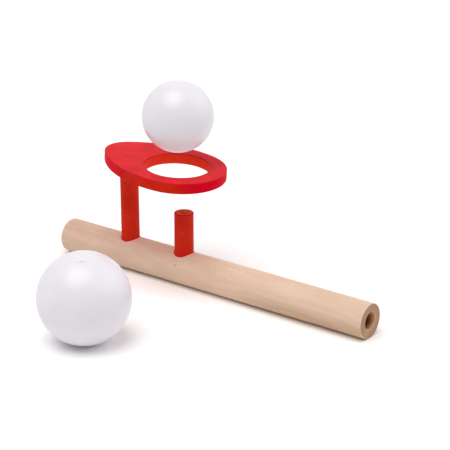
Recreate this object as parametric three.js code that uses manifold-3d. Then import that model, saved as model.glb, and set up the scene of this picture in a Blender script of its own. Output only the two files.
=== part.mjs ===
// Blow ball pipe toy, in millimetres, +Z up.
// A bored wooden pipe lies on the floor. Breath goes in at its mouth, along the bore and up out of a red
// nozzle. A red dowel post holds an egg-shaped ring board over the nozzle, and a light ball floats over the
// ring on the jet. A larger spare ball stands on the floor beside the pipe.
// The toy is worked out with its far end at x = 0, its mouth towards +X and the pipe's axis over y = 0.
// At the end it is moved so that the origin is on the floor under the middle of the whole set.
import * as THREE from "three";
import { mergeVertices } from "three/addons/utils/BufferGeometryUtils.js";
import Module from "manifold-3d";

// Driving dimensions: the pipe
const pipeLength = 214;
const pipeRadius = 10;
const boreRadius = 5; // the air passage, drilled in from the mouth
const borePastNozzle = 2; // how far the bore runs on behind the nozzle before its drill tip
const farEdgeRound = 1;
const mouthEdgeRound = 0.6;
const boreEdgeRound = 0.4;

// Driving dimensions: the nozzle, a short drilled dowel
const nozzleFromFarEnd = 87.2;
const nozzleRadius = 5.6;
const nozzleBoreRadius = 3;
const nozzleRise = 23.8; // its top over the pipe's crown
const nozzleDip = 1.1; // how far its foot reaches into the bore, below the bore's crown
const nozzleEdgeRound = 0.4;

// Driving dimensions: the post, a plain dowel that leans a little towards the far end
const postSpacing = 40.1; // from the nozzle to the post, along the pipe's crown
const postRadius = 5.4;
const postSeatDepth = 8; // glued length in the pipe
const postSocketDepth = 3.5; // glued length in the board
const postEndRound = 0.3;
const postLean = THREE.MathUtils.degToRad(0.5);

// Driving dimensions: the balls
const ballRadius = 20.4;
const ballHover = 8.7; // from the board's top up to the floating ball
const ballDrift = 0.5; // how far the ball floats off the middle of the hole, towards the mouth
const spareRadius = 25.4;
const spareFromFarEnd = 95.4;
const spareFromAxis = 95.8; // in front of the pipe, on its -Y side

// Driving dimensions: the ring board, sawn from a flat panel
const boardRise = 51.1; // its top at the middle of the hole, over the pipe's crown
const boardThickness = 6.2;
const boardTilt = THREE.MathUtils.degToRad(3.8); // it dips towards the mouth
const ballLedge = 1.7; // the ball's radius less the hole's, so that the ball can sit in the ring
const rimWidth = 8.8; // the round end's radius less the hole's
const holeBehindNozzle = 4.3; // from the nozzle's axis back to the middle of the hole
const holeSetBack = 1.2; // the hole was cut this far behind the middle of the round end
const holeOffCentre = 0.5; // and this far off the board's own centre line
const noseRadius = 13.8; // the nose's arc has its middle over the post
const flankRadius = 58;
const boardEdgeRound = 0.5;
const outlineFacet = 2.2; // longest facet along the board's outline

// Clearances and overruns
const glueGap = 0.3; // all round a dowel's end in its seat, and under it
const cutOverrun = 2; // how far a cutter stands out past the face that it enters

// Facets
const pipeSides = 64;
const dowelSides = 40;
const boreSides = 40;
const holeSides = 72;
const ballSides = 48;
const ballRings = 24;
const edgeDivisions = 2; // each rounded edge has twice as many facets
const boardEdgeSteps = 2;
const drillTipAngle = THREE.MathUtils.degToRad(118);
const triangleCorners = 3;

// Sizes that follow
const crownHeight = 2 * pipeRadius;
const holeRadius = ballRadius - ballLedge;
const roundEndRadius = holeRadius + rimWidth;
const holeFromFarEnd = nozzleFromFarEnd - holeBehindNozzle;
const postFromFarEnd = nozzleFromFarEnd - postSpacing;
const boardTop = crownHeight + boardRise;
const quarterTurn = Math.PI / 2;

// Finishes, from the photograph
const beech = { color: 0xdbb897, roughness: 0.62, metalness: 0 };
const redLacquer = { color: 0xc4161c, roughness: 0.42, metalness: 0 };
const redPaint = { color: 0xe0202a, roughness: 0.5, metalness: 0 };
const whitePlastic = { color: 0xebe8ec, roughness: 0.38, metalness: 0 };

const wasm = await Module();
wasm.setup();

// A closed three.js geometry as a solid that can be cut. Triangles that shrank to a line on the axis are left out.
function solidFrom(geometry) {
  const bare = geometry.clone();
  bare.deleteAttribute("normal");
  bare.deleteAttribute("uv");
  const merged = mergeVertices(bare);
  const index = merged.index.array;
  const triVerts = [];
  for (let start = 0; start < index.length; start += triangleCorners) {
    const corners = Array.from(index.subarray(start, start + triangleCorners));
    if (new Set(corners).size === triangleCorners) triVerts.push(...corners);
  }
  return new wasm.Manifold(
    new wasm.Mesh({
      numProp: 3,
      vertProperties: merged.getAttribute("position").array,
      triVerts: new Uint32Array(triVerts),
    }),
  );
}

// A cut solid as a three.js geometry with flat faces.
function geometryFrom(solid) {
  const mesh = solid.getMesh();
  const shared = new THREE.BufferGeometry();
  shared.setAttribute("position", new THREE.BufferAttribute(mesh.vertProperties, mesh.numProp));
  shared.setIndex(new THREE.BufferAttribute(mesh.triVerts, 1));
  const faceted = shared.toNonIndexed();
  faceted.computeVertexNormals();
  return faceted;
}

// A profile turned about the Z axis. Its points give the radius and the height.
function turned(profile, sides) {
  const aboutY = new THREE.LatheGeometry(profile.getPoints(edgeDivisions), sides);
  return aboutY.rotateX(quarterTurn);
}

// The profile of a round bar from one height to another, with both end edges rounded.
function barProfile(radius, low, high, lowRound, highRound) {
  const profile = new THREE.Path();
  profile.moveTo(0, low);
  profile.lineTo(radius - lowRound, low);
  profile.absarc(radius - lowRound, low + lowRound, lowRound, -quarterTurn, 0, false);
  profile.lineTo(radius, high - highRound);
  profile.absarc(radius - highRound, high - highRound, highRound, 0, quarterTurn, false);
  profile.lineTo(0, high);
  return profile;
}

// A plain round cutter from one height to another.
function drill(radius, low, high, sides) {
  const profile = new THREE.Path();
  profile.moveTo(0, low);
  profile.lineTo(radius, low);
  profile.lineTo(radius, high);
  profile.lineTo(0, high);
  return turned(profile, sides);
}

// The wooden pipe: its outside, turned about Z with the far end at 0 and the mouth at the top.
function pipeOutside() {
  return turned(barProfile(pipeRadius, 0, pipeLength, farEdgeRound, mouthEdgeRound), pipeSides);
}

// The air passage: a drill's cone at the blind end, a straight bore, and an eased lip at the mouth.
function boreCutter() {
  const blindEnd = nozzleFromFarEnd - nozzleRadius - borePastNozzle;
  const tipLength = boreRadius / Math.tan(drillTipAngle / 2);
  const lipRadius = boreRadius + boreEdgeRound;
  const profile = new THREE.Path();
  profile.moveTo(0, blindEnd - tipLength);
  profile.lineTo(boreRadius, blindEnd);
  profile.lineTo(boreRadius, pipeLength - boreEdgeRound);
  profile.absarc(lipRadius, pipeLength - boreEdgeRound, boreEdgeRound, Math.PI, quarterTurn, true);
  profile.lineTo(lipRadius, pipeLength + cutOverrun);
  profile.lineTo(0, pipeLength + cutOverrun);
  return turned(profile, boreSides);
}

// The nozzle: a drilled dowel with its top and its bore's lip eased. Heights are over the floor.
const nozzleFoot = pipeRadius + boreRadius - nozzleDip;
const nozzleTop = crownHeight + nozzleRise;

function nozzleTube() {
  const outerTurn = nozzleRadius - nozzleEdgeRound;
  const innerTurn = nozzleBoreRadius + nozzleEdgeRound;
  const roundHeight = nozzleTop - nozzleEdgeRound;
  const profile = new THREE.Path();
  profile.moveTo(nozzleBoreRadius, nozzleFoot);
  profile.lineTo(nozzleRadius, nozzleFoot);
  profile.lineTo(nozzleRadius, roundHeight);
  profile.absarc(outerTurn, roundHeight, nozzleEdgeRound, 0, quarterTurn, false);
  profile.lineTo(innerTurn, nozzleTop);
  profile.absarc(innerTurn, roundHeight, nozzleEdgeRound, quarterTurn, Math.PI, false);
  profile.lineTo(nozzleBoreRadius, nozzleFoot);
  return turned(profile, dowelSides);
}

// Where each turned or tilted piece stands: the nozzle upright, the post leaning, the board dipping.
const nozzlePlace = new THREE.Matrix4().makeTranslation(nozzleFromFarEnd, 0, 0);
const postPlace = new THREE.Matrix4().makeRotationY(-postLean).setPosition(postFromFarEnd, 0, crownHeight);
const boardPlace = new THREE.Matrix4().makeRotationY(boardTilt).setPosition(holeFromFarEnd, 0, boardTop);
const pipePlace = new THREE.Matrix4().makeRotationY(quarterTurn).setPosition(0, 0, pipeRadius);

// The post's length follows from the pipe's crown and the board's underside, along the post's own axis.
const postAxis = new THREE.Vector3(0, 0, 1).transformDirection(postPlace);
const postBase = new THREE.Vector3().setFromMatrixPosition(postPlace);
const boardNormal = new THREE.Vector3(0, 0, 1).transformDirection(boardPlace);
const underHole = new THREE.Vector3(0, 0, -boardThickness).applyMatrix4(boardPlace);
const crownToBoard = underHole.clone().sub(postBase).dot(boardNormal) / postAxis.dot(boardNormal);
const postFoot = -postSeatDepth;
const postHead = crownToBoard + postSocketDepth;

function postDowel() {
  return turned(barProfile(postRadius, postFoot, postHead, postEndRound, postEndRound), dowelSides);
}

function postCutter() {
  return drill(postRadius + glueGap, postFoot - glueGap, postHead + glueGap, dowelSides);
}

// Points along an arc, about one outline facet apart. The last point is left to the next arc.
function arcPoints(centre, radius, from, to) {
  const steps = Math.ceil(((to - from) * radius) / outlineFacet);
  const points = [];
  for (let step = 0; step < steps; step += 1) {
    const angle = from + ((to - from) * step) / steps;
    points.push(new THREE.Vector2(Math.cos(angle), Math.sin(angle)).multiplyScalar(radius).add(centre));
  }
  return points;
}

// The board's outline is an egg of four arcs that run into each other: the round end about the hole, the
// small nose over the post, and two long flanks whose centres lie on the far side of the centre line.
// The outline's x runs towards the mouth from the middle of the hole.
function boardOutline() {
  const postUnderBoard = postAxis.clone().multiplyScalar(crownToBoard).add(postBase);
  const postAlongBoard = underHole.distanceTo(postUnderBoard);
  const roundCentre = new THREE.Vector2(holeSetBack, -holeOffCentre);
  const noseCentre = new THREE.Vector2(-postAlongBoard, -holeOffCentre);

  const noseReach = roundCentre.distanceTo(noseCentre);
  const toRound = flankRadius - roundEndRadius;
  const toNose = flankRadius - noseRadius;
  const back = (noseReach ** 2 + toRound ** 2 - toNose ** 2) / (2 * noseReach);
  const across = Math.sqrt(toRound ** 2 - back ** 2);
  const flankCentre = (side) => new THREE.Vector2(-back, side * across).add(roundCentre);
  const roundTurn = Math.atan2(across, back);
  const noseTurn = Math.atan2(across, back - noseReach);

  return [
    ...arcPoints(roundCentre, roundEndRadius, -roundTurn, roundTurn),
    ...arcPoints(flankCentre(-1), flankRadius, roundTurn, noseTurn),
    ...arcPoints(noseCentre, noseRadius, noseTurn, 2 * Math.PI - noseTurn),
    ...arcPoints(flankCentre(1), flankRadius, -noseTurn, -roundTurn),
  ];
}

// The board lies under its own z = 0, with every edge eased, and the hole goes right through it.
function boardPanel() {
  const outline = new THREE.Shape(boardOutline());
  const hole = [];
  for (let side = 0; side < holeSides; side += 1) {
    const angle = (-2 * Math.PI * side) / holeSides;
    hole.push(new THREE.Vector2(Math.cos(angle), Math.sin(angle)).multiplyScalar(holeRadius));
  }
  outline.holes.push(new THREE.Path(hole));
  const panel = new THREE.ExtrudeGeometry(outline, {
    depth: boardThickness - 2 * boardEdgeRound,
    bevelThickness: boardEdgeRound,
    bevelSize: boardEdgeRound,
    bevelOffset: -boardEdgeRound,
    bevelSegments: boardEdgeSteps,
  });
  return panel.translate(0, 0, boardEdgeRound - boardThickness);
}

// A ball's poles are turned upright, so that it stands on one of them.
function ball(radius) {
  return new THREE.SphereGeometry(radius, ballSides, ballRings).rotateX(quarterTurn);
}

// Each seat is cut by its dowel, grown by the glue gap, so that it follows the dowel's size and lean.
function pipeWithSeats() {
  const toPipe = pipePlace.clone().invert();
  const inPipe = (geometry, place) =>
    solidFrom(geometry.applyMatrix4(new THREE.Matrix4().multiplyMatrices(toPipe, place)));
  const nozzleSeat = drill(
    nozzleRadius + glueGap,
    nozzleFoot - glueGap,
    crownHeight + cutOverrun,
    dowelSides,
  );
  return solidFrom(pipeOutside())
    .subtract(solidFrom(boreCutter()))
    .subtract(inPipe(nozzleSeat, nozzlePlace))
    .subtract(inPipe(postCutter(), postPlace));
}

function boardWithSocket() {
  const toBoard = boardPlace.clone().invert().multiply(postPlace);
  return solidFrom(boardPanel()).subtract(solidFrom(postCutter().applyMatrix4(toBoard)));
}

function piece(name, geometry, finish, place) {
  const mesh = new THREE.Mesh(geometry, new THREE.MeshStandardMaterial(finish));
  mesh.name = name;
  mesh.applyMatrix4(place);
  return mesh;
}

const ballPlace = new THREE.Matrix4().makeTranslation(
  holeFromFarEnd + ballDrift,
  0,
  boardTop + ballHover + ballRadius,
);
const sparePlace = new THREE.Matrix4().makeTranslation(spareFromFarEnd, -spareFromAxis, spareRadius);

const toy = new THREE.Group();
toy.add(piece("pipe", geometryFrom(pipeWithSeats()), beech, pipePlace));
toy.add(piece("nozzle", nozzleTube(), redLacquer, nozzlePlace));
toy.add(piece("post", postDowel(), redLacquer, postPlace));
toy.add(piece("ring_board", geometryFrom(boardWithSocket()), redPaint, boardPlace));
toy.add(piece("floating_ball", ball(ballRadius), whitePlastic, ballPlace));
toy.add(piece("spare_ball", ball(spareRadius), whitePlastic, sparePlace));

// The set stands on z = 0 with the origin under its middle.
const reach = new THREE.Box3().setFromObject(toy, true);
const middle = reach.getCenter(new THREE.Vector3());
toy.position.set(-middle.x, -middle.y, -reach.min.z);

export default toy;
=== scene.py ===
# %% [markdown]
# A wooden blow pipe toy with two white balls.
# The toy is a bored beech pipe with a red nozzle, and a red post that holds an egg-shaped ring board.
# A light ball floats over the ring, and a larger spare ball stands in front of the pipe.
# The sizes come from a finished CAD model. Here each plain solid is replaced by a finer mesh of the same
# size, which has the eased edges, glue lines, grain and paint of the real toy.

# %% Read the frame
from math import atan2, cos, hypot, pi, radians, sin, sqrt, tan

import bmesh
import bpy
from mathutils import Color, Matrix, Vector


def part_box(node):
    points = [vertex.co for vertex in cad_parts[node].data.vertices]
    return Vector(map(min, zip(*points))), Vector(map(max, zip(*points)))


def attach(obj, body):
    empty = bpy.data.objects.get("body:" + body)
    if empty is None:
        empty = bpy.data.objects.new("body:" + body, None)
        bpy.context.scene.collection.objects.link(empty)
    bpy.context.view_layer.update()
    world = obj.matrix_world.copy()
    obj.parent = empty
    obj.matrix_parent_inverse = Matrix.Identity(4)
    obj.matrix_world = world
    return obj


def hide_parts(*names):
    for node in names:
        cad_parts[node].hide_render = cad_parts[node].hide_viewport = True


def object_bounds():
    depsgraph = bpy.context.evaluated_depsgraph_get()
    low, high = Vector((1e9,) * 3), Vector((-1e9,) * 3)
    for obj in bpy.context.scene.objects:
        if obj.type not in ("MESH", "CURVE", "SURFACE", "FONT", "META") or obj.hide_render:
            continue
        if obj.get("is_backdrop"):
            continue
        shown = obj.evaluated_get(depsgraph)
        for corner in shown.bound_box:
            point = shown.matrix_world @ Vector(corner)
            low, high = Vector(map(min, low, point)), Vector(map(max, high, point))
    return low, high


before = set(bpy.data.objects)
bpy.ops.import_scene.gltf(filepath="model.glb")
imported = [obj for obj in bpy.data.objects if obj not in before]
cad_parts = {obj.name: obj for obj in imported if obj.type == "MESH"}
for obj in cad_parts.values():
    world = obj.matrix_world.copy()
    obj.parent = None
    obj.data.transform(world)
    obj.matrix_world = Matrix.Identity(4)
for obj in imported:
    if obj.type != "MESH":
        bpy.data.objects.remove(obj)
cad_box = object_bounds()

# %% [markdown]
# Blender works in metres and a toy maker in millimetres, so every length is written as so many mm.
# Whatever the CAD boxes can tell is read from them: where each piece stands, how long and how thick it is.
# Only what lies inside a box, such as a bore or an arc of the board, is given by name here.

# %% Sizes and places from the CAD boxes
mm = 0.001


def middle_and_size(node):
    """The middle of a node's box and its three side lengths."""
    low, high = (Vector(corner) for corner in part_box(node))
    return (low + high) / 2, high - low


pipe_middle, pipe_size = middle_and_size("pipe")
nozzle_middle, nozzle_size = middle_and_size("nozzle")
floating_middle, floating_size = middle_and_size("floating_ball")
spare_middle, spare_size = middle_and_size("spare_ball")

pipe_length = pipe_size.x
pipe_radius = pipe_size.z / 2
crown_height = pipe_middle.z + pipe_radius
far_end = pipe_middle.x - pipe_length / 2
mouth = pipe_middle.x + pipe_length / 2
nozzle_radius = nozzle_size.x / 2
nozzle_foot = nozzle_middle.z - nozzle_size.z / 2
nozzle_top = nozzle_middle.z + nozzle_size.z / 2
print("pipe mm", round(pipe_length / mm, 1), "long,", round(2 * pipe_radius / mm, 1), "thick")

# %% [markdown]
# Blender's editing operators act on whatever is selected, and a freshly loaded scene has everything
# selected. So four small helpers come first. One leaves a single object selected, one puts a fresh
# primitive's place into its mesh, and one picks vertices, edges or faces by a test on where they are, as
# an artist would by eye. The last one prints whether a mesh is closed.

# %% Helpers for selecting
def alone(piece):
    """Select one object and nothing else."""
    bpy.ops.object.select_all(action="DESELECT")
    piece.select_set(True)
    bpy.context.view_layer.objects.active = piece


def fresh(name):
    """Name the object that was just added, and put its place into its mesh."""
    piece = bpy.context.object
    piece.name = name
    piece.data.name = name
    alone(piece)
    bpy.ops.object.transform_apply(location=True, rotation=True, scale=True)
    return piece


def pick(piece, kind, test):
    """In edit mode, select only the elements that pass the test, and return how many there are."""
    bpy.ops.mesh.select_mode(type=kind)
    bpy.ops.mesh.select_all(action="DESELECT")
    mesh = bmesh.from_edit_mesh(piece.data)
    elements = {"VERT": mesh.verts, "EDGE": mesh.edges, "FACE": mesh.faces}[kind]
    chosen = [element for element in elements if test(element)]
    for element in chosen:
        element.select_set(True)
    bmesh.update_edit_mesh(piece.data)
    return len(chosen)


def measure(piece):
    """Print how fine a mesh is, how much it holds and whether it has any open edge."""
    mesh = bmesh.new()
    mesh.from_mesh(piece.data)
    open_edges = sum(len(edge.link_faces) != 2 for edge in mesh.edges)
    volume = mesh.calc_volume(signed=True) / (10 * mm) ** 3
    print(piece.name, len(mesh.faces), "faces,", round(volume, 2), "cm3,", open_edges, "open edges")
    mesh.free()


print("helpers ready")

# %% [markdown]
# The pipe is a turned beech bar, drilled from the mouth end and stopped behind the nozzle. It could be a
# spun profile, but starting from a cylinder is closer to how it is made: the bar first, and then the
# drill. The mouth face is inset to leave the wall, pushed in as far as the drill went, and drawn to a
# point.

# %% The bar and its bore
bar_sides = 128
bore_radius = 5 * mm
bore_past_nozzle = 2 * mm
drill_tip_angle = radians(118)
squarely = 0.9

bpy.ops.object.select_all(action="DESELECT")
bpy.ops.mesh.primitive_cylinder_add(
    vertices=bar_sides,
    radius=pipe_radius,
    depth=pipe_length,
    location=pipe_middle,
    rotation=(0, pi / 2, 0),
)
pipe = fresh("beech_pipe")

blind_end = nozzle_middle.x - nozzle_radius - bore_past_nozzle
tip_length = bore_radius / tan(drill_tip_angle / 2)
bpy.ops.object.mode_set(mode="EDIT")
pick(pipe, "FACE", lambda face: face.normal.x > squarely)
bpy.ops.mesh.inset(thickness=pipe_radius - bore_radius)
bpy.ops.mesh.extrude_region_move(TRANSFORM_OT_translate={"value": (blind_end - mouth, 0, 0)})
bpy.ops.mesh.extrude_region_move(TRANSFORM_OT_translate={"value": (-tip_length, 0, 0)})
bpy.ops.mesh.merge(type="CENTER")
bpy.ops.object.mode_set(mode="OBJECT")
measure(pipe)

# %% [markdown]
# No edge of a wooden toy is left sharp. The far end is sanded round, the mouth only a little, and the
# drill left a fine lip on the bore. Each rim is a ring of edges that can be told by its place along the
# pipe and its distance from the axis, and the bevel operator rounds it.

# %% Rounded rims
far_end_round = 1 * mm
mouth_round = 0.6 * mm
lip_round = 0.4 * mm
rim_steps = 4
touch = 0.01 * mm


def off_axis(vertex):
    """How far a vertex is from the pipe's axis."""
    return hypot(vertex.co.y - pipe_middle.y, vertex.co.z - pipe_middle.z)


def round_rim(place, radius, width):
    """Round the ring of edges at one place along the pipe and one distance from its axis."""

    def on_rim(edge):
        return all(
            abs(vertex.co.x - place) < touch and abs(off_axis(vertex) - radius) < touch
            for vertex in edge.verts
        )

    edges = pick(pipe, "EDGE", on_rim)
    bpy.ops.mesh.bevel(offset=width, segments=rim_steps, affect="EDGES")
    print("rounded a rim of", edges, "edges by", round(width / mm, 2), "mm")


bpy.ops.object.mode_set(mode="EDIT")
round_rim(far_end, pipe_radius, far_end_round)
round_rim(mouth, pipe_radius, mouth_round)
round_rim(mouth, bore_radius, lip_round)
bpy.ops.object.mode_set(mode="OBJECT")

# %% [markdown]
# The long faces of the bar are cut into short ones, because the next step drills holes into the crown and
# a hole in a very long face shades badly. Subdividing only the long edges turns each strip into a row of
# quads.

# %% Rings along the bar
ring_spacing = 2.5 * mm
ring_cuts = int(pipe_length / ring_spacing)

bpy.ops.object.mode_set(mode="EDIT")
long_edges = pick(
    pipe,
    "EDGE",
    lambda edge: edge.calc_length() > pipe_length / 2
    and all(off_axis(vertex) > pipe_radius - touch for vertex in edge.verts),
)
bpy.ops.mesh.subdivide(number_cuts=ring_cuts)
bpy.ops.object.mode_set(mode="OBJECT")
print(long_edges, "long edges cut by", ring_cuts, "rings")

# %% [markdown]
# The nozzle and the post are dowels that stand in drilled seats, and the post leans by half a degree.
# The seats could be faked by letting the dowels run into the bar, but then the bore would show red wood.
# So a cylinder a hair thicker than each dowel is cut out with a Boolean modifier, which is then applied.

# %% Seats for the two dowels
seat_fit = 0.05 * mm
seat_sides = 96
seat_overrun = 4 * mm
post_spacing = 40.1 * mm
post_radius = 5.4 * mm
post_seat_depth = 8 * mm
post_socket_depth = 3.5 * mm
post_lean = radians(0.5)

nozzle_base = Vector((nozzle_middle.x, pipe_middle.y, crown_height))
post_base = Vector((nozzle_middle.x - post_spacing, pipe_middle.y, crown_height))
post_axis = Vector((-sin(post_lean), 0, cos(post_lean)))


def cut_out(piece, base, axis, radius, low, high):
    """Cut a round hole along an axis, from one height over its base point to another."""
    bpy.ops.object.select_all(action="DESELECT")
    bpy.ops.mesh.primitive_cylinder_add(
        vertices=seat_sides,
        radius=radius,
        depth=high - low,
        location=base + axis * (low + high) / 2,
        rotation=axis.to_track_quat("Z", "Y").to_euler(),
    )
    drill = bpy.context.object
    alone(piece)
    cut = piece.modifiers.new("drilled hole", "BOOLEAN")
    cut.object = drill
    cut.operation = "DIFFERENCE"
    cut.solver = "EXACT"
    bpy.ops.object.modifier_apply(modifier=cut.name)
    bpy.data.objects.remove(drill)


upright = Vector((0, 0, 1))
cut_out(pipe, nozzle_base, upright, nozzle_radius + seat_fit, nozzle_foot - crown_height, seat_overrun)
cut_out(pipe, post_base, post_axis, post_radius + seat_fit, -post_seat_depth - seat_fit, seat_overrun)
measure(pipe)

# %% [markdown]
# A curved surface looks smooth when its normals are blended across the faces, and crisp where they are
# not. Shading by angle does both: the bar is smooth and the seats stay sharp. The weighted normal
# modifier then lets the large faces decide, so that the flat mouth face stays flat up to its rounded rim.

# %% Smooth shading
crease_angle = radians(35)


def finish_shading(piece):
    """Blend the normals of gentle bends, and let large faces keep theirs."""
    alone(piece)
    bpy.ops.object.shade_smooth_by_angle(angle=crease_angle)
    weights = piece.modifiers.new("weights", "WEIGHTED_NORMAL")
    weights.keep_sharp = True
    bpy.ops.object.modifier_apply(modifier=weights.name)


def stands_for(piece, node, body):
    """Let a finished piece take a CAD node's place and ride on its body."""
    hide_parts(node)
    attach(piece, body)
    print(piece.name, "stands for", node)


finish_shading(pipe)
stands_for(pipe, "pipe", "toy")

# %% [markdown]
# The nozzle is a short drilled dowel, so its wall is one small section carried round an axis. A plane is
# laid out as that section, its two top corners are rounded, its face is removed and its outline is spun
# round. A cylinder with an inset hole would do, but here the spin rounds both lips of the rim in one go.

# %% The nozzle
nozzle_bore_radius = 3 * mm
nozzle_lip_round = 0.45 * mm
dowel_sides = 96
lip_steps = 4

wall = nozzle_radius - nozzle_bore_radius
wall_middle = nozzle_middle + Vector((nozzle_bore_radius + wall / 2, 0, 0))
bpy.ops.object.select_all(action="DESELECT")
bpy.ops.mesh.primitive_plane_add(size=wall, location=wall_middle, rotation=(pi / 2, 0, 0))
nozzle = fresh("red_nozzle")

bpy.ops.object.mode_set(mode="EDIT")
bpy.ops.mesh.select_all(action="SELECT")
bpy.ops.transform.resize(value=(1, 1, nozzle_size.z / wall), center_override=wall_middle)
pick(nozzle, "VERT", lambda vertex: vertex.co.z > nozzle_top - touch)
bpy.ops.mesh.bevel(offset=nozzle_lip_round, segments=lip_steps, affect="VERTICES")
pick(nozzle, "FACE", lambda face: True)
bpy.ops.mesh.delete(type="ONLY_FACE")
pick(nozzle, "EDGE", lambda edge: True)
bpy.ops.mesh.spin(steps=dowel_sides, angle=2 * pi, center=nozzle_middle, axis=(0, 0, 1))
bpy.ops.mesh.select_all(action="SELECT")
bpy.ops.mesh.remove_doubles(threshold=touch / 10)
bpy.ops.mesh.normals_make_consistent(inside=False)
bpy.ops.object.mode_set(mode="OBJECT")
measure(nozzle)
finish_shading(nozzle)
stands_for(nozzle, "nozzle", "toy")

# %% [markdown]
# The ring board is sawn from a flat panel. Its outline is an egg of four arcs that run into each other:
# the round end about the hole, the small nose over the post, and two long flanks. The hole was cut by
# eye, a little off the middle of the round end, and the photograph shows its rim wider on one side. The
# centres of the flanks follow from the other two arcs, by the rule that touching circles share a normal.

# %% The board's outline in numbers
board_rise = 51.1 * mm
board_thickness = 6.2 * mm
board_tilt = radians(3.8)
hole_behind_nozzle = 4.3 * mm
hole_set_back = 1.2 * mm
hole_off_centre = 0.5 * mm
hole_ledge = 1.7 * mm
rim_width = 8.8 * mm
nose_radius = 13.8 * mm
flank_radius = 58 * mm

hole_middle = nozzle_base + Vector((-hole_behind_nozzle, 0, board_rise))
hole_radius = floating_size.x / 2 - hole_ledge
round_radius = hole_radius + rim_width

board_normal = Vector((sin(board_tilt), 0, cos(board_tilt)))
under_hole = hole_middle - board_normal * board_thickness
post_reach = (under_hole - post_base).dot(board_normal) / post_axis.dot(board_normal)
post_under_board = post_base + post_axis * post_reach
hole_to_post = (under_hole - post_under_board).length

round_centre = hole_middle + Vector((hole_set_back, -hole_off_centre, 0))
nose_centre = hole_middle + Vector((-hole_to_post, -hole_off_centre, 0))
nose_reach = hole_to_post + hole_set_back

to_round = flank_radius - round_radius
to_nose = flank_radius - nose_radius
flank_back = (nose_reach**2 + to_round**2 - to_nose**2) / (2 * nose_reach)
flank_across = sqrt(to_round**2 - flank_back**2)
round_turn = atan2(flank_across, flank_back)
nose_turn = atan2(flank_across, flank_back - nose_reach)

left_flank_centre = round_centre + Vector((-flank_back, -flank_across, 0))
right_flank_centre = round_centre + Vector((-flank_back, flank_across, 0))
print("post stands", round(post_reach / mm, 2), "mm proud, nose", round(nose_reach / mm, 2), "mm back")

# %% [markdown]
# To draw the outline, a tiny plane is merged to a single point where the round end begins, and that point
# is spun along each arc in turn, like a pencil on a compass. The hole is a circle added in the same mesh.
# Bridging the two loops fills the flat between them, and an extrude gives the panel its thickness.

# %% Draw the outline and saw the panel
outline_step = 1.2 * mm
hole_sides = 160


def draw_arc(centre, radius, turn):
    """Carry the selected point along an arc, counter-clockwise from above. Spin turns the other way."""
    steps = round(turn * radius / outline_step)
    bpy.ops.mesh.spin(steps=steps, angle=turn, center=centre, axis=(0, 0, -1))
    return steps


start = round_centre + round_radius * Vector((cos(round_turn), -sin(round_turn), 0))
bpy.ops.object.select_all(action="DESELECT")
bpy.ops.mesh.primitive_plane_add(size=touch, location=start)
board = fresh("red_ring_board")

bpy.ops.object.mode_set(mode="EDIT")
bpy.ops.mesh.select_all(action="SELECT")
bpy.ops.mesh.merge(type="CENTER")
bpy.ops.mesh.select_mode(type="VERT")
bpy.ops.mesh.select_all(action="SELECT")
points = draw_arc(round_centre, round_radius, 2 * round_turn)
points += draw_arc(left_flank_centre, flank_radius, nose_turn - round_turn)
points += draw_arc(nose_centre, nose_radius, 2 * (pi - nose_turn))
points += draw_arc(right_flank_centre, flank_radius, nose_turn - round_turn)
bpy.ops.mesh.select_all(action="SELECT")
bpy.ops.mesh.remove_doubles(threshold=touch)
outline = bmesh.from_edit_mesh(board.data)
loose_ends = sum(len(vertex.link_edges) != 2 for vertex in outline.verts)
print("outline of", points, "steps has", loose_ends, "loose ends")

bpy.ops.mesh.primitive_circle_add(vertices=hole_sides, radius=hole_radius, location=hole_middle)
bpy.ops.mesh.select_all(action="SELECT")
bpy.ops.mesh.bridge_edge_loops()
bpy.ops.mesh.select_all(action="SELECT")
bpy.ops.mesh.extrude_region_move(TRANSFORM_OT_translate={"value": (0, 0, -board_thickness)})
bpy.ops.mesh.select_all(action="SELECT")
bpy.ops.mesh.normals_make_consistent(inside=False)
bpy.ops.object.mode_set(mode="OBJECT")
measure(board)

# %% [markdown]
# The saw leaves sharp edges, and sanding and paint round them off. All of them lie where two faces meet
# nearly square, so one test on the angle finds the four rims. The board dips towards the mouth, so it is
# tipped about the middle of its hole. Then a blind socket is drilled into its underside for the post's
# head.

# %% Round, tip and drill the board
board_round = 0.6 * mm
board_round_steps = 4
square_corner = radians(60)

bpy.ops.object.mode_set(mode="EDIT")
rim_edges = pick(board, "EDGE", lambda edge: edge.calc_face_angle(0) > square_corner)
bpy.ops.mesh.bevel(offset=board_round, segments=board_round_steps, affect="EDGES")
bpy.ops.mesh.select_all(action="SELECT")
bpy.ops.transform.rotate(value=-board_tilt, orient_axis="Y", center_override=hole_middle)
bpy.ops.object.mode_set(mode="OBJECT")
socket_end = post_reach + post_socket_depth
cut_out(board, post_base, post_axis, post_radius + seat_fit, post_reach / 2, socket_end)
print("rounded", rim_edges, "edges")
measure(board)
finish_shading(board)
stands_for(board, "ring_board", "toy")

# %% [markdown]
# The post is a plain dowel. Its length isn't typed in: it runs from the bottom of its seat, up along its
# lean, to the end of the socket under the board. A cylinder is enough to start from, with both ends eased
# and the long faces cut into rings.

# %% The post
post_end_round = 0.3 * mm
post_end_steps = 2
post_rings = 20

bpy.ops.object.select_all(action="DESELECT")
bpy.ops.mesh.primitive_cylinder_add(
    vertices=dowel_sides,
    radius=post_radius,
    depth=post_seat_depth + socket_end,
    location=post_base + post_axis * (socket_end - post_seat_depth) / 2,
    rotation=(0, -post_lean, 0),
)
post = fresh("red_post")

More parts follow.
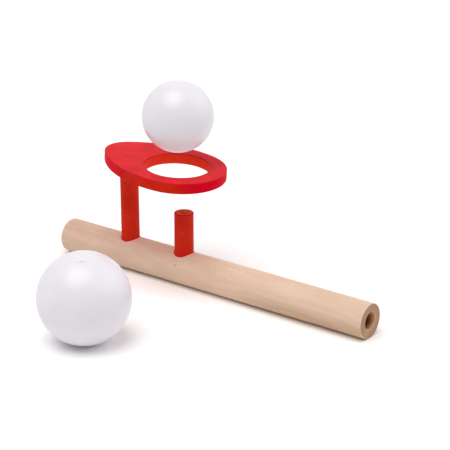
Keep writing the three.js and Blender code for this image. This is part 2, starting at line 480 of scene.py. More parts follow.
bpy.ops.object.mode_set(mode="EDIT")
pick(post, "EDGE", lambda edge: edge.calc_face_angle(0) > square_corner)
bpy.ops.mesh.bevel(offset=post_end_round, segments=post_end_steps, affect="EDGES")
pick(post, "EDGE", lambda edge: edge.calc_length() > post_reach / 2)
bpy.ops.mesh.subdivide(number_cuts=post_rings)
bpy.ops.object.mode_set(mode="OBJECT")
measure(post)
finish_shading(post)
stands_for(post, "post", "toy")

# %% [markdown]
# Where a painted dowel enters the bar or the board, a little glue and paint is squeezed out into a fine
# line. On the bar it follows a saddle, because a round dowel meets a round bar. Drawing that curve by
# formula is possible, but it is easier to drop a circle onto the bar with the shrinkwrap modifier, turn
# it into a curve and give the curve a thickness.

# %% Glue lines round the dowels
glue_thickness = 0.38 * mm
glue_circle_sides = 96
glue_start = 6 * mm
glue_roundness = 3


def glue_line(name, base, radius, surface, side):
    """Lay a thin round line on a surface, about a dowel. Side is 1 over the surface and -1 under it."""
    bpy.ops.object.select_all(action="DESELECT")
    bpy.ops.mesh.primitive_circle_add(
        vertices=glue_circle_sides,
        radius=radius + glue_thickness / 4,
        location=base + Vector((0, 0, side * glue_start)),
    )
    line = fresh(name)
    drop = line.modifiers.new("drop", "SHRINKWRAP")
    drop.target = surface
    drop.wrap_method = "PROJECT"
    drop.use_project_z = True
    drop.use_negative_direction = side > 0
    drop.use_positive_direction = side < 0
    bpy.ops.object.modifier_apply(modifier=drop.name)
    bpy.ops.object.convert(target="CURVE")
    line = bpy.context.object
    line.data.bevel_depth = glue_thickness
    line.data.bevel_resolution = glue_roundness
    bpy.ops.object.convert(target="MESH")
    line = bpy.context.object
    line.data.name = name
    bpy.ops.object.shade_smooth()
    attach(line, "toy")
    measure(line)
    return line


nozzle_glue = glue_line("nozzle_glue", nozzle_base, nozzle_radius, pipe, 1)
post_glue = glue_line("post_glue", post_base, post_radius, pipe, 1)
board_glue = glue_line("board_glue", post_under_board, post_radius, board, -1)

# %% [markdown]
# The balls are light mouldings. A sphere with poles suits them, because a mould has a gate, where the
# plastic went in, and a parting line half way round. The sphere's pole is turned to the gate. A round
# patch of faces about it is inset and pressed in for the gate mark, and the ring of edges at the equator
# is widened and raised a hair.

# %% The balls
ball_segments = 128
ball_rings = 96
gate_radius = 4 * mm
gate_wall = 0.35 * mm
gate_depth = 0.3 * mm
seam_width = 0.5 * mm
seam_height = 0.02 * mm
seam_steps = 2


def gate_direction(turn, lean):
    """Where a gate points that leans from straight up and is then turned about the upright."""
    return Matrix.Rotation(turn, 3, "Z") @ Matrix.Rotation(lean, 3, "X") @ Vector((0, 0, 1))


def moulded_ball(name, middle, radius, turn, lean):
    """A ball with a pressed-in gate mark and a fine parting line."""
    bpy.ops.object.select_all(action="DESELECT")
    bpy.ops.mesh.primitive_uv_sphere_add(
        segments=ball_segments,
        ring_count=ball_rings,
        radius=radius,
        location=middle,
        rotation=(lean, 0, turn),
    )
    ball = fresh(name)
    gate = gate_direction(turn, lean)

    bpy.ops.object.mode_set(mode="EDIT")
    patch = pick(
        ball,
        "FACE",
        lambda face: (face.calc_center_median() - middle).angle(gate) < gate_radius / radius,
    )
    bpy.ops.mesh.inset(thickness=gate_wall)
    bpy.ops.transform.resize(value=(1 - gate_depth / radius,) * 3, center_override=middle)
    pick(
        ball,
        "EDGE",
        lambda edge: all(abs((vertex.co - middle).dot(gate)) < touch for vertex in edge.verts),
    )
    bpy.ops.mesh.bevel(offset=seam_width, segments=seam_steps, affect="EDGES")
    seam = pick(ball, "VERT", lambda vertex: abs((vertex.co - middle).dot(gate)) < touch)
    bpy.ops.transform.resize(value=(1 + seam_height / radius,) * 3, center_override=middle)
    bpy.ops.object.mode_set(mode="OBJECT")
    bpy.ops.object.shade_smooth()
    measure(ball)
    print("gate mark of", patch, "faces, seam of", seam, "points")
    return ball


floating_radius = floating_size.z / 2
floating_gate = (radians(200), radians(50))
spare_radius = spare_size.z / 2
spare_gate = (radians(39), radians(18))
floating_ball = moulded_ball("white_floating_ball", floating_middle, floating_radius, *floating_gate)
spare_ball = moulded_ball("white_spare_ball", spare_middle, spare_radius, *spare_gate)
stands_for(floating_ball, "floating_ball", "floating_ball")
stands_for(spare_ball, "spare_ball", "spare_ball")

# %% [markdown]
# Now the finishes. Wood grain, paint and plastic have no flat colour: each one is a colour that wanders a
# little, with a fine relief. Several finishes need the same effects, so each effect is built once as a
# node group with named inputs. First come small helpers that add a node and wire its inputs in one line.

# %% Helpers for shader nodes
value_operations = ("DOT_PRODUCT", "DISTANCE", "LENGTH")


def screen_colour(red, green, blue):
    """A colour as read off a screen, 0 to 255, in the linear values that a shader wants."""
    linear = Color((red / 255, green / 255, blue / 255)).from_srgb_to_scene_linear()
    return (linear.r, linear.g, linear.b, 1)


def add(tree, kind, inputs=None, **settings):
    """Add a node, make its settings, and give each input a value or a wire from another socket."""
    node = tree.nodes.new(kind)
    for setting, value in settings.items():
        setattr(node, setting, value)
    for key, value in (inputs or {}).items():
        if isinstance(value, bpy.types.NodeSocket):
            tree.links.new(value, node.inputs[key])
        else:
            node.inputs[key].default_value = value
    return node


def sums(tree, operation, first, second):
    """One step of arithmetic on two values."""
    return add(tree, "ShaderNodeMath", {0: first, 1: second}, operation=operation).outputs[0]


def vector_sums(tree, operation, first, second=(0, 0, 0)):
    """One step of arithmetic on two vectors. Three operations give a value, and the others a vector."""
    node = add(tree, "ShaderNodeVectorMath", {0: first, 1: second}, operation=operation)
    return node.outputs["Value" if operation in value_operations else "Vector"]


def off_line(tree, place, across):
    """How far a place is from a line through the origin. Across is 1 in each direction that counts."""
    return vector_sums(tree, "LENGTH", vector_sums(tree, "MULTIPLY", place, across))


def spread(tree, value, low, high, to_low=0.0, to_high=1.0):
    """Stretch a part of a value's range to another range, with a soft start and end."""
    inputs = {"Value": value, "From Min": low, "From Max": high, "To Min": to_low, "To Max": to_high}
    return add(tree, "ShaderNodeMapRange", inputs, interpolation_type="SMOOTHSTEP").outputs[0]


def blend(tree, amount, first, second, blend_type="MIX"):
    """Mix two colours by an amount."""
    inputs = {"Factor": amount, 6: first, 7: second}
    return add(tree, "ShaderNodeMix", inputs, data_type="RGBA", blend_type=blend_type).outputs[2]


def new_group(name, inputs, outputs):
    """An empty node group with named sockets. Returns the group, its inputs and its output node."""
    group = bpy.data.node_groups.new(name, "ShaderNodeTree")
    kinds = {"value": "NodeSocketFloat", "vector": "NodeSocketVector"}
    for socket_name, kind, default in inputs:
        socket = group.interface.new_socket(name=socket_name, in_out="INPUT", socket_type=kinds[kind])
        if default is not None:
            socket.default_value = default
    for socket_name, kind in outputs:
        group.interface.new_socket(name=socket_name, in_out="OUTPUT", socket_type=kinds[kind])
    entry = group.nodes.new("NodeGroupInput").outputs
    exit_node = group.nodes.new("NodeGroupOutput")
    return group, entry, exit_node


def use(tree, group, inputs):
    """Place a node group in a material, with this material's own values. Returns its outputs."""
    return add(tree, "ShaderNodeGroup", inputs, node_tree=group).outputs


print("white on screen is", [round(part, 2) for part in screen_colour(255, 255, 255)])

# %% [markdown]
# Beech has three marks: long fine fibres, growth rings that cross the bar as wide soft bands, and short
# dark flecks. All three are drawn in space and not on the surface, so the end of the bar shows the same
# fibres end on. A picture of wood could be wrapped round the bar, but it would have a seam and no ends.
# The group takes a place in millimetres with x along the grain, and the dowels and the board use it under
# their paint as well.

# %% Wood grain group
fibre_detail = 5.0
fibre_roughness = 0.62
noise_middle = 0.5
bend_scale = (0.012, 0.05, 0.05)
ring_normal = (0, 0.55, 0.83)
half_ring = 0.5
fleck_scale = (0.42, 2.6, 2.6)
fleck_zone = (0.30, 0.12)

grain, given, result = new_group(
    "wood grain",
    [
        ("Place", "vector", None),
        ("Fibre Width", "value", 0.5),
        ("Fibre Length", "value", 30.0),
        ("Ring Spacing", "value", 4.0),
        ("Waviness", "value", 6.0),
    ],
    [("Fibres", "value"), ("Rings", "value"), ("Flecks", "value")],
)
parts = add(grain, "ShaderNodeSeparateXYZ", {0: given["Place"]}).outputs
along = sums(grain, "DIVIDE", parts["X"], given["Fibre Length"])
across_y = sums(grain, "DIVIDE", parts["Y"], given["Fibre Width"])
across_z = sums(grain, "DIVIDE", parts["Z"], given["Fibre Width"])
stretched = add(grain, "ShaderNodeCombineXYZ", {"X": along, "Y": across_y, "Z": across_z}).outputs[0]
fine = {"Vector": stretched, "Scale": 1.0, "Detail": fibre_detail, "Roughness": fibre_roughness}
fibres = add(grain, "ShaderNodeTexNoise", fine).outputs[0]
grain.links.new(fibres, result.inputs["Fibres"])

slow_place = vector_sums(grain, "MULTIPLY", given["Place"], bend_scale)
wander = add(grain, "ShaderNodeTexNoise", {"Vector": slow_place, "Scale": 1.0, "Detail": 2.0}).outputs[0]
bend = sums(grain, "MULTIPLY", sums(grain, "SUBTRACT", wander, noise_middle), given["Waviness"])
depth = vector_sums(grain, "DOT_PRODUCT", given["Place"], ring_normal)
turns = sums(grain, "ADD", sums(grain, "DIVIDE", depth, given["Ring Spacing"]), bend)
rings = spread(grain, sums(grain, "PINGPONG", turns, half_ring), 0.0, half_ring)
grain.links.new(rings, result.inputs["Rings"])

fleck_place = vector_sums(grain, "MULTIPLY", given["Place"], fleck_scale)
cells = add(grain, "ShaderNodeTexVoronoi", {"Vector": fleck_place, "Scale": 1.0, "Randomness": 1.0})
flecks = spread(grain, cells.outputs["Distance"], *fleck_zone)
grain.links.new(flecks, result.inputs["Flecks"])
print("wood grain group has", len(grain.nodes), "nodes")

# %% [markdown]
# Paint, plastic and bare wood all have a colour that drifts from place to place, and a fine grain that
# shows in their shine or their relief. One group gives both: a broad cloud and a fine one, each a noise
# of its own size.

# %% Mottle group
mottle, given, result = new_group(
    "mottle",
    [("Place", "vector", None), ("Broad Size", "value", 20.0), ("Fine Size", "value", 1.0)],
    [("Broad", "value"), ("Fine", "value")],
)
for size_name, out_name, detail in (("Broad Size", "Broad", 2.0), ("Fine Size", "Fine", 3.0)):
    scale = sums(mottle, "DIVIDE", 1.0, given[size_name])
    cloud = add(mottle, "ShaderNodeTexNoise", {"Vector": given["Place"], "Scale": scale, "Detail": detail})
    mottle.links.new(cloud.outputs[0], result.inputs[out_name])
print("mottle group has", len(mottle.nodes), "nodes")

# %% [markdown]
# Rims wear and take paint differently, on bare wood as on painted, and on the bar the paler rim is partly a
# painted highlight. Every piece here but the balls has one axis, with ends that face along it and sides
# that face across it. So a rounded rim is where the surface faces neither way. A Bevel node could find
# sharp edges as well, but these rims are modelled, and it sees little of them. The zones say how much of
# the axis a surface faces: 0 is a side and 1 is an end.

# %% Rim group
off_side_zone = (0.1, 0.4)
off_end_zone = (0.995, 0.9)
end_zone = (0.55, 0.9)

rims, given, result = new_group(
    "rim mask",
    [("Axis", "vector", (0, 0, 1))],
    [("Rim", "value"), ("End", "value")],
)
facing = add(rims, "ShaderNodeTexCoord").outputs["Normal"]
lean = sums(rims, "ABSOLUTE", vector_sums(rims, "DOT_PRODUCT", facing, given["Axis"]), 0.0)
rim = sums(rims, "MULTIPLY", spread(rims, lean, *off_side_zone), spread(rims, lean, *off_end_zone))
rims.links.new(rim, result.inputs["Rim"])
rims.links.new(spread(rims, lean, *end_zone), result.inputs["End"])
print("rim group has", len(rims.nodes), "nodes")

# %% [markdown]
# A material starts the same way each time: a Principled shader and the place on the piece in millimetres.
# The place is in object coordinates, measured from a point of the piece, so the pattern stays put. It
# ends the same way too, with a colour, a shine that wanders and a relief, so these steps are helpers.

# %% Start and end of a material
most_of_noise = (0.3, 0.7)


def new_material(name, roughness, specular):
    """A material with its shader. The two shine values are set on the shader itself."""
    material = bpy.data.materials.new(name)
    material.use_nodes = True
    tree = material.node_tree
    shader = tree.nodes["Principled BSDF"]
    shader.inputs["Roughness"].default_value = roughness
    shader.inputs["Specular IOR Level"].default_value = specular
    return material, tree, shader


def place_in_mm(tree, origin, turn=(0, 0, 0)):
    """The place on the piece in millimetres from an origin, turned so that x can run along the grain."""
    here = add(tree, "ShaderNodeTexCoord").outputs["Object"]
    moved = vector_sums(tree, "SUBTRACT", here, tuple(origin))
    mapping = {"Vector": moved, "Rotation": turn, "Scale": (1 / mm, 1 / mm, 1 / mm)}
    return add(tree, "ShaderNodeMapping", mapping, vector_type="POINT").outputs[0]


def tint_rims(tree, axis, colour, rim_colour, amount):
    """Let another colour come through on the rounded rims of a piece with this axis."""
    rim = use(tree, rims, {"Axis": axis})["Rim"]
    return blend(tree, sums(tree, "MULTIPLY", rim, amount), colour, rim_colour)


def colour_and_shine(tree, shader, colour, pattern, smoothest, roughest):
    """Wire in the colour, and let the roughness wander between two values."""
    tree.links.new(colour, shader.inputs["Base Color"])
    roughness = spread(tree, pattern, *most_of_noise, smoothest, roughest)
    tree.links.new(roughness, shader.inputs["Roughness"])


def relief(tree, shader, height, distance):
    """Raise and sink the surface's normal by a height pattern."""
    bump = add(tree, "ShaderNodeBump", {"Height": height, "Distance": distance, "Strength": 1.0})
    tree.links.new(bump.outputs[0], shader.inputs["Normal"])


print("materials start plain")

# %% [markdown]
# The pipe is bare beech, sanded and hardly oiled: a pale warm tan with a pinkish cast, and a few dark pin
# knots. The wood is made greyer and darker towards its far end, most of all along the crown. Under its
# mouth end it is darker too, and that is painted shade. So three soft masks multiply the wood with a tint
# each. Their zones and the places of the knots are in millimetres from the bar's middle.

# %% Beech
wood_light = screen_colour(239, 211, 184)
wood_rosy = screen_colour(235, 202, 177)
wood_dark = screen_colour(214, 174, 143)
wood_fleck = screen_colour(168, 116, 84)
ring_strength = 0.2
fleck_strength = 0.22
fibre_zone = (0.5, 0.8)
far_tint = screen_colour(246, 243, 245)
crown_tint = screen_colour(243, 239, 237)
painted_shade_under_mouth = screen_colour(232, 225, 214)
far_zone = (-5, -60)
crown_zone = (-60, -80)
mouth_zone = (10, 60)
crown_heights = (4, 9)
painted_shade_heights = (4, -4)
zone_wander = 8.0
pin_knots = [((-19.4, -9.0, 4.2), 0.7), ((8.3, -7.7, 6.4), 0.4), ((16.3, -8.9, 4.5), 0.25)]
pin_edge = 0.65
pin_core = 0.25
pin_colour = screen_colour(128, 88, 70)

beech, tree, shader = new_material("beech", roughness=0.55, specular=0.35)
here = place_in_mm(tree, pipe_middle)
figure = use(tree, grain, {"Place": here, "Fibre Width": 0.45, "Fibre Length": 28.0, "Ring Spacing": 5.0})
clouds = use(tree, mottle, {"Place": here, "Broad Size": 26.0, "Fine Size": 0.6})
body = blend(tree, spread(tree, clouds["Broad"], *most_of_noise), wood_light, wood_rosy)
body = blend(tree, sums(tree, "MULTIPLY", figure["Rings"], ring_strength), body, wood_dark)
body = blend(tree, spread(tree, figure["Fibres"], *fibre_zone, to_high=0.35), body, wood_dark)
body = blend(tree, sums(tree, "MULTIPLY", figure["Flecks"], fleck_strength), body, wood_fleck)

parts = add(tree, "ShaderNodeSeparateXYZ", {0: here}).outputs
uneven = sums(tree, "MULTIPLY", sums(tree, "SUBTRACT", clouds["Broad"], noise_middle), zone_wander)
high = sums(tree, "ADD", parts["Z"], uneven)
to_far_end = spread(tree, sums(tree, "ADD", parts["X"], uneven), *far_zone)
to_mouth = spread(tree, parts["X"], *mouth_zone)
crown = sums(tree, "MULTIPLY", spread(tree, parts["X"], *crown_zone), spread(tree, high, *crown_heights))
# Painted shade: the lower side of the bar near the mouth is darkened.
under = sums(tree, "MULTIPLY", to_mouth, spread(tree, high, *painted_shade_heights))
for mask, tint in ((to_far_end, far_tint), (crown, crown_tint), (under, painted_shade_under_mouth)):
    body = blend(tree, mask, body, tint, "MULTIPLY")
for knot_place, darkness in pin_knots:
    from_knot = vector_sums(tree, "DISTANCE", here, knot_place)
    body = blend(tree, spread(tree, from_knot, pin_edge, pin_core, to_high=darkness), body, pin_colour)
print("the side of the bar takes", len(tree.nodes), "nodes")

# %% [markdown]
# The ends of the bar show end grain, which soaks up more and is darker, with a paler rim that is partly a
# painted highlight on its rounding. The mouth face has a paler, yellower patch low on one side. The wall of
# the bore is pale just behind its lip and dark brown deeper in, which is painted shade in the bore. All
# this could be a second material, but then the side grain would end in a line. Here each is a soft mask
# over the side grain, by how far the surface faces along the bar or by its distance from a point or the
# axis.

# %% End grain and the wall of the bore
wood_end = screen_colour(178, 138, 110)
wood_edge_and_highlight = screen_colour(238, 214, 192)
end_yellow_patch = screen_colour(196, 164, 116)
wood_at_lip = screen_colour(234, 186, 142)
painted_bore_shade = screen_colour(146, 84, 46)
mouth_edge = pipe_length / 2 / mm
patch_place = (mouth_edge, -4.0, -6.5)
patch_edge = 4.5
patch_core = 1.0
end_fibre_zone = (0.4, 0.7)
pale_rim_and_highlight = 0.5
lip_pale = 0.5
full_shade_depth = 5.0
bore_edge = bore_radius / mm
bore_fade = 0.3
skin = 0.1
bore_bottom = (blind_end - tip_length - pipe_middle.x) / mm
bottom_fade = 2
bottom_skin = 1

faces = use(tree, rims, {"Axis": (1, 0, 0)})
end_colour = blend(tree, spread(tree, figure["Fibres"], *end_fibre_zone, to_high=0.5), wood_end, wood_fleck)
# A paler, yellower patch low on one side of the mouth face.
from_patch = vector_sums(tree, "DISTANCE", here, patch_place)
yellow_patch = spread(tree, from_patch, patch_edge, patch_core, to_high=0.7)
end_colour = blend(tree, yellow_patch, end_colour, end_yellow_patch)
body = blend(tree, faces["End"], body, end_colour)
# Partly painted highlight: the rounded rims of the bar's ends are made paler.
body = blend(tree, sums(tree, "MULTIPLY", faces["Rim"], pale_rim_and_highlight), body, wood_edge_and_highlight)

from_axis = off_line(tree, here, (0, 1, 1))
# Painted shade: the wall of the bore goes from pale at the lip to dark brown deeper in.
down_bore = spread(tree, parts["X"], mouth_edge - lip_pale, mouth_edge - full_shade_depth)
bore_wall_with_shade = blend(tree, down_bore, wood_at_lip, painted_bore_shade)
near_axis = spread(tree, from_axis, bore_edge + bore_fade, bore_edge + skin)
before_bottom = spread(tree, parts["X"], bore_bottom - bottom_fade, bore_bottom - bottom_skin)
body = blend(tree, sums(tree, "MULTIPLY", near_axis, before_bottom), body, bore_wall_with_shade)
colour_and_shine(tree, shader, body, clouds["Fine"], smoothest=0.5, roughest=0.64)
relief(tree, shader, sums(tree, "SUBTRACT", figure["Fibres"], figure["Flecks"]), 0.05 * mm)
pipe.data.materials.append(beech)
print("beech has", len(tree.nodes), "nodes")

# %% [markdown]
# The dowels were dipped in red lacquer before they were glued in. The lacquer is thin, so the upright
# grain shows through as a fine relief and a slight change of red, and it is thicker and darker at the
# edges of the rim. The nozzle was drilled after that, so the wall of its bore is bare wood, told by its
# distance from the axis.

# %% Red lacquer on the dowels
lacquer_red = screen_colour(226, 54, 28)
lacquer_deep = screen_colour(214, 40, 24)
lacquer_rim = screen_colour(176, 8, 36)
bare_bore = screen_colour(240, 122, 60)
red_drift = (0.35, 0.7)
lacquer_fibres = (0.5, 0.75)
lacquer_fade = 0.2
peel_grain = 0.7


def lacquer(name, origin, drilled):
    """Red lacquer over upright grain, and bare wood up to the drilled radius in millimetres."""
    material, tree, shader = new_material(name, roughness=0.45, specular=0.04)
    here = place_in_mm(tree, origin, (0, pi / 2, 0))
    figure = use(tree, grain, {"Place": here, "Fibre Width": 0.8, "Fibre Length": 26.0, "Ring Spacing": 3.0})
    clouds = use(tree, mottle, {"Place": here, "Broad Size": 16.0, "Fine Size": 0.35})
    red = blend(tree, spread(tree, clouds["Broad"], *red_drift), lacquer_red, lacquer_deep)
    red = blend(tree, spread(tree, figure["Fibres"], *lacquer_fibres, to_high=0.6), red, lacquer_deep)
    red = tint_rims(tree, upright, red, lacquer_rim, amount=0.9)
    from_axis = off_line(tree, here, (0, 1, 1))
    red = blend(tree, spread(tree, from_axis, drilled + lacquer_fade, drilled + skin), red, bare_bore)
    colour_and_shine(tree, shader, red, clouds["Fine"], smoothest=0.36, roughest=0.48)
    peel = sums(tree, "ADD", sums(tree, "MULTIPLY", figure["Fibres"], peel_grain), clouds["Fine"])
    relief(tree, shader, peel, 0.03 * mm)
    return material


nozzle.data.materials.append(lacquer("red lacquer on the nozzle", nozzle_base, nozzle_bore_radius / mm))
post.data.materials.append(lacquer("red lacquer on the post", post_base, 0))
print("two dowels lacquered")

# %% [markdown]
# The board is painted a cooler red than the dowels. On its faces the paint lies bright and even, with faint
# marks of the sanding under it, which run at an angle to the board, and its rounded rims are more crimson.

# %% Paint on the faces of the board
face_red = screen_colour(230, 28, 38)
face_red_deep = screen_colour(208, 20, 32)
rim_red = screen_colour(214, 6, 34)
sanding_turn = radians(35)
sanding_zone = (0.5, 0.66)

board_paint, tree, shader = new_material("red paint on the board", roughness=0.5, specular=0.09)
here = place_in_mm(tree, hole_middle, (0, 0, sanding_turn))
figure = use(tree, grain, {"Place": here, "Fibre Width": 1.3, "Fibre Length": 18.0, "Ring Spacing": 6.0})
clouds = use(tree, mottle, {"Place": here, "Broad Size": 14.0, "Fine Size": 0.5})
red = blend(tree, spread(tree, clouds["Broad"], *red_drift), face_red, face_red_deep)
red = blend(tree, spread(tree, figure["Fibres"], *sanding_zone, to_high=0.7), red, face_red_deep)
red = tint_rims(tree, board_normal, red, rim_red, amount=0.7)
colour_and_shine(tree, shader, red, clouds["Fine"], smoothest=0.44, roughest=0.56)
relief(tree, shader, sums(tree, "ADD", figure["Fibres"], clouds["Fine"]), 0.04 * mm)
board.data.materials.append(board_paint)
print("board paint has", len(tree.nodes), "nodes")

# %% [markdown]
# The sawn edge drinks the paint, so it is duller. Its change from orange at the front to crimson towards
# both ends of the board copies how light and reflection fall on the turning sides, so it is painted light.
# The lighter orange red on the wall of the hole is painted light too. One material with a mask could hold
# both finishes, but two materials on one mesh keep each simple. The faces that stand upright are picked
# for the second one.

# %% Paint on the sawn edge
side_red = screen_colour(220, 44, 20)
side_red_drift = screen_colour(208, 18, 24)
side_red_deep = screen_colour(198, 14, 22)
side_crimson_painted_light = screen_colour(226, 2, 34)
hole_wall_painted_light = screen_colour(248, 62, 34)
side_fibres = (0.45, 0.75)
hole_edge = hole_radius / mm
hole_fade = 2
hole_skin = 1
painted_light_crimson_zones = ((-18, -32), (14, 25))
edge_facing = 0.5

side_paint, tree, shader = new_material("red paint on the sawn edge", roughness=0.55, specular=0.03)
here = place_in_mm(tree, hole_middle)
figure = use(tree, grain, {"Place": here, "Fibre Width": 0.6, "Fibre Length": 6.0, "Ring Spacing": 2.2})
clouds = use(tree, mottle, {"Place": here, "Broad Size": 16.0, "Fine Size": 0.5})
red = blend(tree, spread(tree, clouds["Broad"], *red_drift), side_red, side_red_drift)
red = blend(tree, spread(tree, figure["Fibres"], *side_fibres, to_high=0.5), red, side_red_deep)
from_hole = off_line(tree, here, (1, 1, 0))
# Painted light: the wall of the hole is made a lighter orange red.
red = blend(tree, spread(tree, from_hole, hole_edge + hole_fade, hole_edge + hole_skin), red, hole_wall_painted_light)
along_board = add(tree, "ShaderNodeSeparateXYZ", {0: here}).outputs["X"]
# Painted light: the sides turn from orange to crimson towards both ends of the board.
for zone in painted_light_crimson_zones:
    red = blend(tree, spread(tree, along_board, *zone), red, side_crimson_painted_light)
red = tint_rims(tree, board_normal, red, rim_red, amount=0.7)
colour_and_shine(tree, shader, red, clouds["Fine"], smoothest=0.5, roughest=0.62)
relief(tree, shader, sums(tree, "ADD", figure["Fibres"], clouds["Fine"]), 0.05 * mm)

board.data.materials.append(side_paint)
alone(board)
bpy.ops.object.mode_set(mode="EDIT")
edge_faces = pick(board, "FACE", lambda face: abs(face.normal.dot(board_normal)) < edge_facing)
board.active_material_index = 1
bpy.ops.object.material_slot_assign()
bpy.ops.object.mode_set(mode="OBJECT")
print(edge_faces, "faces of the board carry the edge paint")

# %% [markdown]
# The squeezed-out line where a dowel enters the wood is glue that took up red lacquer. It is glossier than
# the lacquer and the paint, and slightly uneven.

# %% Glue and lacquer
glue_red = screen_colour(232, 22, 38)
glue_red_deep = screen_colour(204, 14, 28)
middle_of_noise = (0.35, 0.65)

glue, tree, shader = new_material("glue and lacquer", roughness=0.35, specular=0.2)
here = place_in_mm(tree, nozzle_base)
clouds = use(tree, mottle, {"Place": here, "Broad Size": 2.5, "Fine Size": 0.4})
red = blend(tree, spread(tree, clouds["Broad"], *middle_of_noise), glue_red, glue_red_deep)
tree.links.new(red, shader.inputs["Base Color"])
relief(tree, shader, clouds["Fine"], 0.08 * mm)
glue_lines = (nozzle_glue, post_glue, board_glue)
for line in glue_lines:
    line.data.materials.append(glue)
print("glue on", len(glue_lines), "lines")

# %% [markdown]
# The balls are a satin white plastic with a faint cool cast. They are the plainest surface here, and a
# perfectly even one would look computed, so the white drifts by a hair and a very fine relief spreads the
# shine. Across the gate mark runs a thin greyish dash of painted shade, for the shade in the pressed-in
# mark.

# %% White plastic
ball_white = screen_colour(244, 239, 246)
ball_shade = screen_colour(240, 236, 243)
gate_shade_grey = screen_colour(216, 210, 217)
gate_shade_size = (5.6, 0.8, 0.8)
gate_shade_core = 0.3


def white_plastic(name, origin, radius, turn, lean):
    """Satin white plastic with a dash of painted shade across its gate mark."""
    material, tree, shader = new_material(name, roughness=0.33, specular=0.6)
    here = place_in_mm(tree, origin)
    clouds = use(tree, mottle, {"Place": here, "Broad Size": 16.0, "Fine Size": 0.4})
    white = blend(tree, spread(tree, clouds["Broad"], *middle_of_noise), ball_white, ball_shade)
    gate_middle = origin + gate_direction(turn, lean) * radius
    on_gate = place_in_mm(tree, gate_middle, (0, 0, -turn))
    # Painted shade: a thin grey dash across the gate mark.
    from_gate_shade = vector_sums(tree, "LENGTH", vector_sums(tree, "DIVIDE", on_gate, gate_shade_size))
    white = blend(tree, spread(tree, from_gate_shade, 1.0, gate_shade_core), white, gate_shade_grey)
    colour_and_shine(tree, shader, white, clouds["Fine"], smoothest=0.29, roughest=0.39)
    relief(tree, shader, clouds["Fine"], 0.015 * mm)
    return material


balls = (
    (floating_ball, "floating ball", floating_middle, floating_radius, floating_gate),
    (spare_ball, "spare ball", spare_middle, spare_radius, spare_gate),
)
for ball, ball_name, middle, radius, gate in balls:
    ball.data.materials.append(white_plastic("white plastic, " + ball_name, middle, radius, *gate))
print(len(balls), "balls white")

# %% [markdown]
# The toy was photographed on seamless white paper under a large soft lamp. A plain white floor takes its
# shadows. The photographer let the paper run past white, so that its faint outer shadows vanish. More lamp
# light would burn out the balls as well, so the paper has a paler colour instead, but only where it is
# seen: by the camera and by mirror-like rays.

# %% Floor
floor_size = 6.0
paper_white = 0.95
paper_seen = 1.16


def where_seen(tree):
    """1 for what the camera or a mirror-like ray meets, and 0 for light that only spreads."""
    rays = add(tree, "ShaderNodeLightPath").outputs
    mirror_rays = sums(tree, "MAXIMUM", rays["Is Glossy Ray"], rays["Is Transmission Ray"])
    return sums(tree, "MAXIMUM", rays["Is Camera Ray"], mirror_rays)


bpy.ops.object.select_all(action="DESELECT")
bpy.ops.mesh.primitive_plane_add(size=floor_size)
floor = fresh("paper_floor")
floor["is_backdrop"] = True

paper = bpy.data.materials.new("white paper")
paper.use_nodes = True
tree = paper.node_tree
tree.nodes.clear()
matt = add(tree, "ShaderNodeBsdfDiffuse", {"Color": (paper_white, paper_white, paper_white, 1)}).outputs[0]
pale = add(tree, "ShaderNodeBsdfDiffuse", {"Color": (paper_seen, paper_seen, paper_seen, 1)}).outputs[0]
shown = add(tree, "ShaderNodeMixShader", {0: where_seen(tree), 1: matt, 2: pale}).outputs[0]
add(tree, "ShaderNodeOutputMaterial", {"Surface": shown})
floor.data.materials.append(paper)
print("floor", floor_size, "m wide")

# %% [markdown]
# The light is a white tent with two soft boxes: the main one high up in front, and a weaker one on the
# right. A soft box could be an Area lamp, but its light fades with distance and the corners of the paper
# would turn grey. A Sun lamp with a wide angle lights the whole floor evenly, and the angle softens the
# edges of the shadows. A Sun of strength pi turns white paper that faces it just white, so each box is
# given by its share of that, after its compass direction and its angle over the floor.

# %% Light
tent_strength = 0.33
soft_boxes = [
    ("front_box", radians(262), radians(72), 0.57, radians(50)),
    ("right_box", radians(50), radians(30), 0.22, radians(60)),
]
box_distance = 2.0

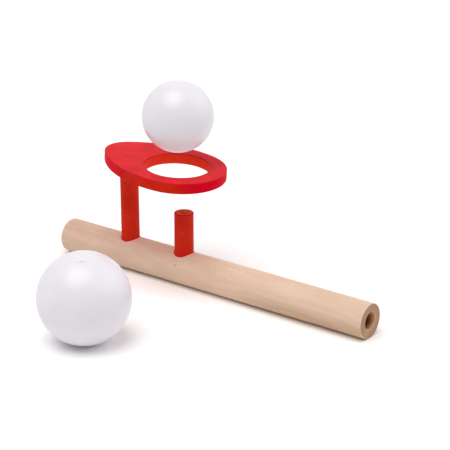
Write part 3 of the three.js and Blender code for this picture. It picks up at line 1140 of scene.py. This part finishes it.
world = bpy.data.worlds.new("white tent")
world.use_nodes = True
bpy.context.scene.world = world
tree = world.node_tree
tree.nodes.clear()
tent = add(tree, "ShaderNodeBackground", {"Color": (1, 1, 1, 1), "Strength": tent_strength}).outputs[0]
white = add(tree, "ShaderNodeBackground", {"Color": (1, 1, 1, 1), "Strength": 1.0}).outputs[0]
shown = add(tree, "ShaderNodeMixShader", {0: where_seen(tree), 1: tent, 2: white}).outputs[0]
add(tree, "ShaderNodeOutputWorld", {"Surface": shown})


def soft_box(name, compass, height, share, width):
    """A wide Sun lamp that shines from a compass direction and an angle over the floor."""
    box_data = bpy.data.lights.new(name, "SUN")
    box_data.energy = share * pi
    box_data.angle = width
    box = bpy.data.objects.new(name, box_data)
    bpy.context.scene.collection.objects.link(box)
    towards = Vector((cos(height) * cos(compass), cos(height) * sin(compass), sin(height)))
    box.location = spare_middle + towards * box_distance
    box.rotation_euler = towards.to_track_quat("Z", "Y").to_euler()
    return share * sin(height)


on_floor = sum(soft_box(*values) for values in soft_boxes)
print("the floor gets", round(tent_strength + on_floor, 2), "of white")

# %% [markdown]
# The camera's place comes from fitting the pipe, the nozzle and the balls to the photograph: it looks
# down by about 21 degrees from over the mouth's front side, with a long lens, so the far end shrinks only
# a little.

# %% Camera
camera_place = Vector((0.5232, -0.6384, 0.3677))
camera_turn = radians(36.85)
camera_dip = radians(20.78)
camera_roll = radians(0.15)
sensor_mm = 36
lens_mm = 130.5

camera_data = bpy.data.cameras.new("camera")
camera_data.sensor_width = sensor_mm
camera_data.lens = lens_mm
camera = bpy.data.objects.new("camera", camera_data)
bpy.context.scene.collection.objects.link(camera)
camera.location = camera_place
aim = Matrix.Rotation(camera_turn, 3, "Z") @ Matrix.Rotation(pi / 2 - camera_dip, 3, "X")
camera.rotation_euler = (aim @ Matrix.Rotation(camera_roll, 3, "Z")).to_euler()
bpy.context.scene.camera = camera
bpy.context.scene.view_settings.view_transform = "Standard"
print("camera", round((camera_place - hole_middle).length, 2), "m from the ring")

# %% [markdown]
# Last, the size of the whole dressed model is printed beside the CAD model's.

# %% Compare the sizes and finish
boxes = {
    "cad": [list(corner) for corner in cad_box],
    "visual": [list(corner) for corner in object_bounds()],
}
for model, corners in boxes.items():
    print(model, "box in mm", [[round(part / mm, 1) for part in corner] for corner in corners])
